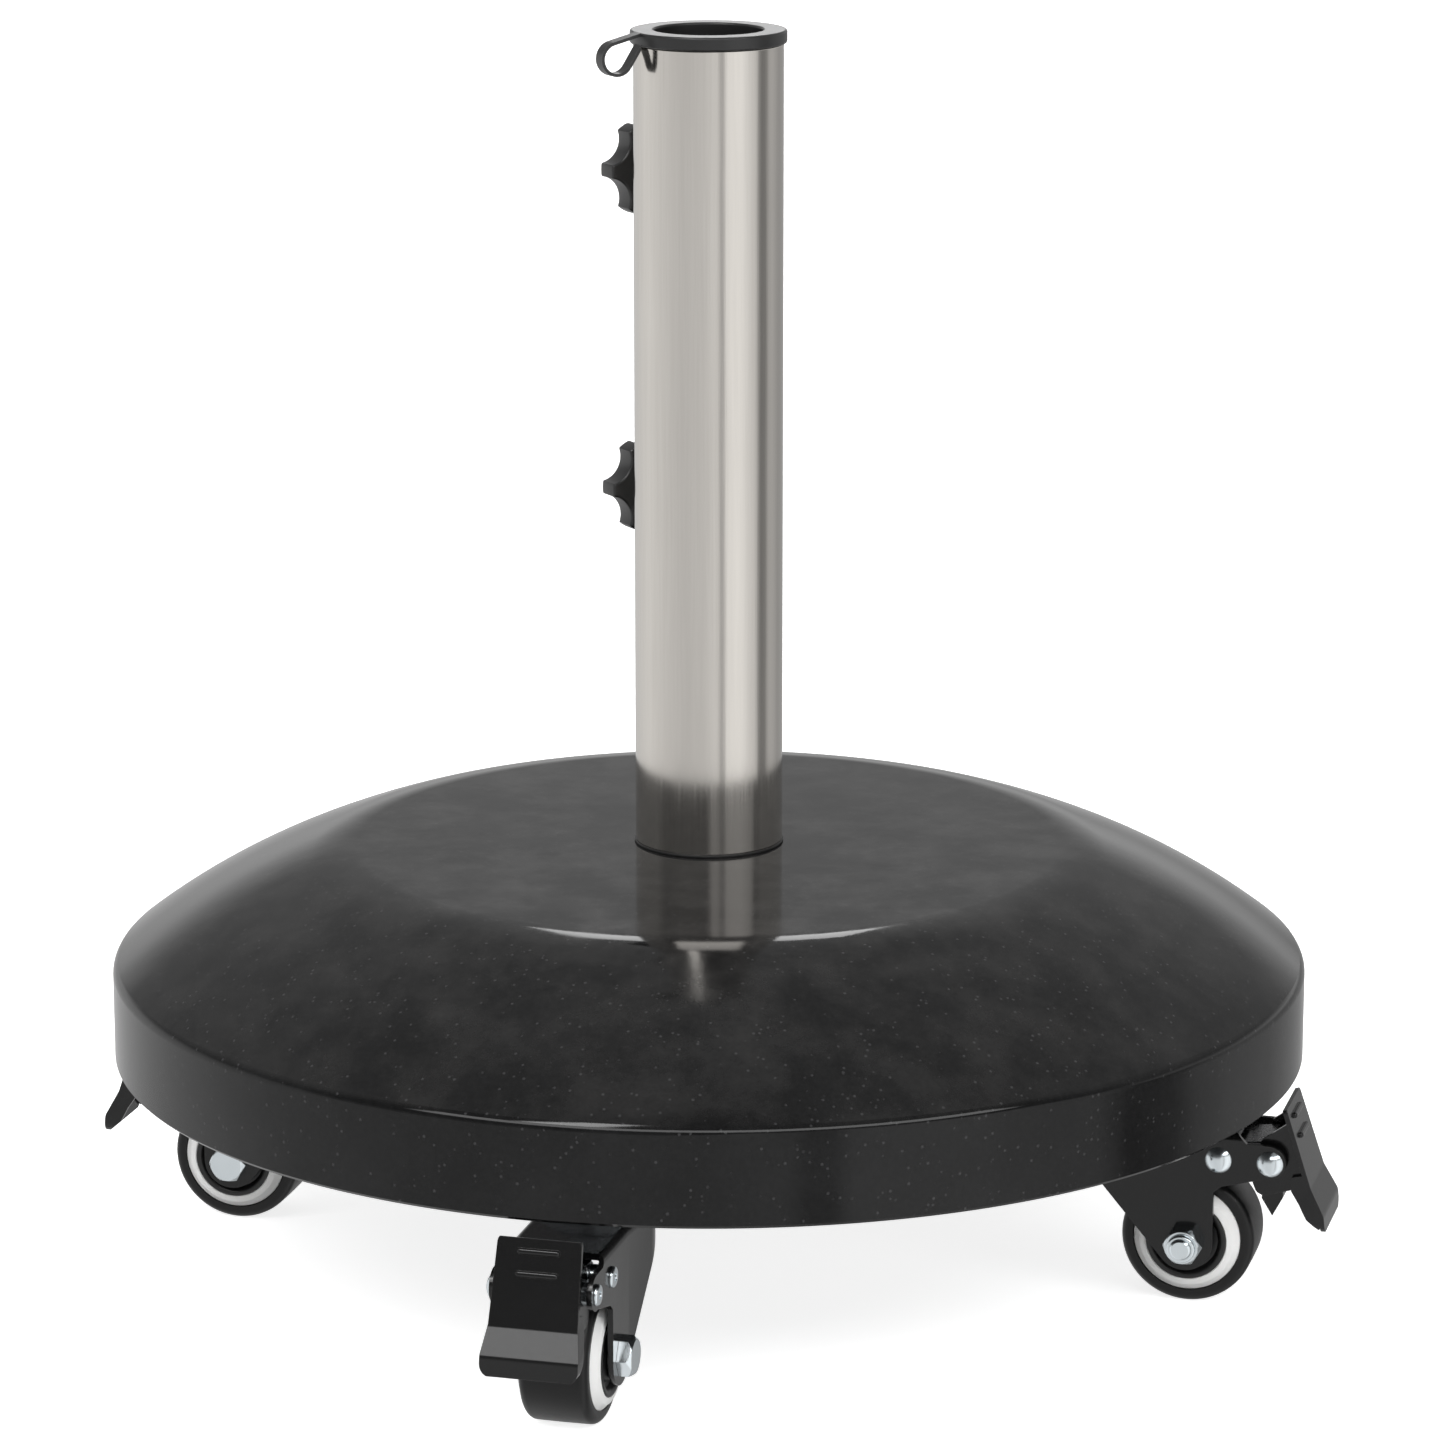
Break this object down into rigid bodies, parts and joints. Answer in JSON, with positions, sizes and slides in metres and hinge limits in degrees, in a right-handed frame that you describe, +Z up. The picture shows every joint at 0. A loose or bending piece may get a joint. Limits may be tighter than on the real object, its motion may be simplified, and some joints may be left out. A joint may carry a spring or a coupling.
{
  "type": "parasol base",
  "caption": "Rolling parasol base: a domed granite disc on braked swivel castors, with a steel pole tube, clamping star knobs and a pull-out adapter cap.",
  "frame": {"origin": "on the floor under the axis of the pole tube", "axes": "+Z up along the pole tube; the castors stand out along +X, -Y, -X and +Y at rest"},
  "size_m": [0.4782, 0.4782, 0.4666],
  "materials": {
    "granite": "polished",
    "tube_steel": "brushed",
    "zinc_plate": "bright zinc plate",
    "bearing_steel": "ground",
    "insert_brass": "turned",
    "gasket_rubber": "matte",
    "black_enamel": "gloss black enamel",
    "tyre_black": "satin",
    "rim_grey": "satin",
    "black_plastic": "satin",
    "cap_plastic": "satin",
    "knob_plastic": "satin"
  },
  "bodies": {
    "base": {"stone_base": "granite", "pole_tube": "tube_steel", "tube_floor_plate": "tube_steel", "tie_bolt": "zinc_plate", "tie_washer": "zinc_plate", "foot_gasket": "gasket_rubber", "knob_bosses": "tube_steel", "castor_inserts": "insert_brass", "castor_stems": "zinc_plate", "castor_upper_races": "zinc_plate", "castor_bearing_balls": "bearing_steel"},
    "right_castor": {"right_fork": "black_enamel", "right_fork_rivets": "zinc_plate", "right_axle_bolt_set": "zinc_plate", "right_axle_bush": "bearing_steel", "right_brake_spring": "bearing_steel"},
    "right_wheel": {"right_tyre": "tyre_black", "right_wheel_rim": "rim_grey", "right_hub_covers": "black_plastic"},
    "right_pedal": {"right_brake_pedal": "black_enamel", "right_brake_shoe": "black_enamel"},
    "front_castor": {"front_fork": "black_enamel", "front_fork_rivets": "zinc_plate", "front_axle_bolt_set": "zinc_plate", "front_axle_bush": "bearing_steel", "front_brake_spring": "bearing_steel"},
    "front_wheel": {"front_tyre": "tyre_black", "front_wheel_rim": "rim_grey", "front_hub_covers": "black_plastic"},
    "front_pedal": {"front_brake_pedal": "black_enamel", "front_brake_shoe": "black_enamel"},
    "left_castor": {"left_fork": "black_enamel", "left_fork_rivets": "zinc_plate", "left_axle_bolt_set": "zinc_plate", "left_axle_bush": "bearing_steel", "left_brake_spring": "bearing_steel"},
    "left_wheel": {"left_tyre": "tyre_black", "left_wheel_rim": "rim_grey", "left_hub_covers": "black_plastic"},
    "left_pedal": {"left_brake_pedal": "black_enamel", "left_brake_shoe": "black_enamel"},
    "back_castor": {"back_fork": "black_enamel", "back_fork_rivets": "zinc_plate", "back_axle_bolt_set": "zinc_plate", "back_axle_bush": "bearing_steel", "back_brake_spring": "bearing_steel"},
    "back_wheel": {"back_tyre": "tyre_black", "back_wheel_rim": "rim_grey", "back_hub_covers": "black_plastic"},
    "back_pedal": {"back_brake_pedal": "black_enamel", "back_brake_shoe": "black_enamel"},
    "cap": {"reducer_cap": "cap_plastic", "cap_pull_loop": "cap_plastic"},
    "upper_stud": {"upper_clamp_stud": "zinc_plate"},
    "upper_knob": {"upper_star_knob": "knob_plastic"},
    "lower_stud": {"lower_clamp_stud": "zinc_plate"},
    "lower_knob": {"lower_star_knob": "knob_plastic"}
  },
  "joints": [
    {"name": "right_swivel", "type": "hinge", "parent": "base", "child": "right_castor", "pos_m": [0.1532, 0, 0.0685], "axis": [0, 0, 1], "continuous": true},
    {"name": "right_wheel_roll", "type": "hinge", "parent": "right_castor", "child": "right_wheel", "pos_m": [0.187, 0, 0.025], "axis": [0, 1, 0], "continuous": true},
    {"name": "right_brake", "type": "hinge", "parent": "right_castor", "child": "right_pedal", "pos_m": [0.2183, 0, 0.058], "axis": [0, 1, 0], "range_deg": [0, 19]},
    {"name": "front_swivel", "type": "hinge", "parent": "base", "child": "front_castor", "pos_m": [0, -0.1532, 0.0685], "axis": [0, 0, 1], "continuous": true},
    {"name": "front_wheel_roll", "type": "hinge", "parent": "front_castor", "child": "front_wheel", "pos_m": [0, -0.187, 0.025], "axis": [1, 0, 0], "continuous": true},
    {"name": "front_brake", "type": "hinge", "parent": "front_castor", "child": "front_pedal", "pos_m": [0, -0.2183, 0.058], "axis": [1, 0, 0], "range_deg": [0, 19]},
    {"name": "left_swivel", "type": "hinge", "parent": "base", "child": "left_castor", "pos_m": [-0.1532, 0, 0.0685], "axis": [0, 0, 1], "continuous": true},
    {"name": "left_wheel_roll", "type": "hinge", "parent": "left_castor", "child": "left_wheel", "pos_m": [-0.187, 0, 0.025], "axis": [0, -1, 0], "continuous": true},
    {"name": "left_brake", "type": "hinge", "parent": "left_castor", "child": "left_pedal", "pos_m": [-0.2183, 0, 0.058], "axis": [0, -1, 0], "range_deg": [0, 19]},
    {"name": "back_swivel", "type": "hinge", "parent": "base", "child": "back_castor", "pos_m": [0, 0.1532, 0.0685], "axis": [0, 0, 1], "continuous": true},
    {"name": "back_wheel_roll", "type": "hinge", "parent": "back_castor", "child": "back_wheel", "pos_m": [0, 0.187, 0.025], "axis": [-1, 0, 0], "continuous": true},
    {"name": "back_brake", "type": "hinge", "parent": "back_castor", "child": "back_pedal", "pos_m": [0, 0.2183, 0.058], "axis": [-1, 0, 0], "range_deg": [0, 19]},
    {"name": "cap_lift", "type": "slide", "parent": "base", "child": "cap", "axis": [0, 0, 1], "range_m": [0, 0.06]},
    {"name": "upper_stud_travel", "type": "slide", "parent": "base", "child": "upper_stud", "axis": [0.7071, -0.7071, 0], "range_m": [0, 0.0045]},
    {"name": "upper_knob_turn", "type": "hinge", "parent": "upper_stud", "child": "upper_knob", "pos_m": [-0.02793, 0.02793, 0.41055], "axis": [0.7071, -0.7071, 0], "range_deg": [0, 1296]},
    {"name": "lower_stud_travel", "type": "slide", "parent": "base", "child": "lower_stud", "axis": [0.7071, -0.7071, 0], "range_m": [0, 0.0045]},
    {"name": "lower_knob_turn", "type": "hinge", "parent": "lower_stud", "child": "lower_knob", "pos_m": [-0.02793, 0.02793, 0.29055], "axis": [0.7071, -0.7071, 0], "range_deg": [0, 1296]}
  ],
  "couplings": [
    {"joint": "upper_knob_turn", "follows": "upper_stud_travel", "rad_per_m": 5026.5},
    {"joint": "lower_knob_turn", "follows": "lower_stud_travel", "rad_per_m": 5026.5}
  ]
}
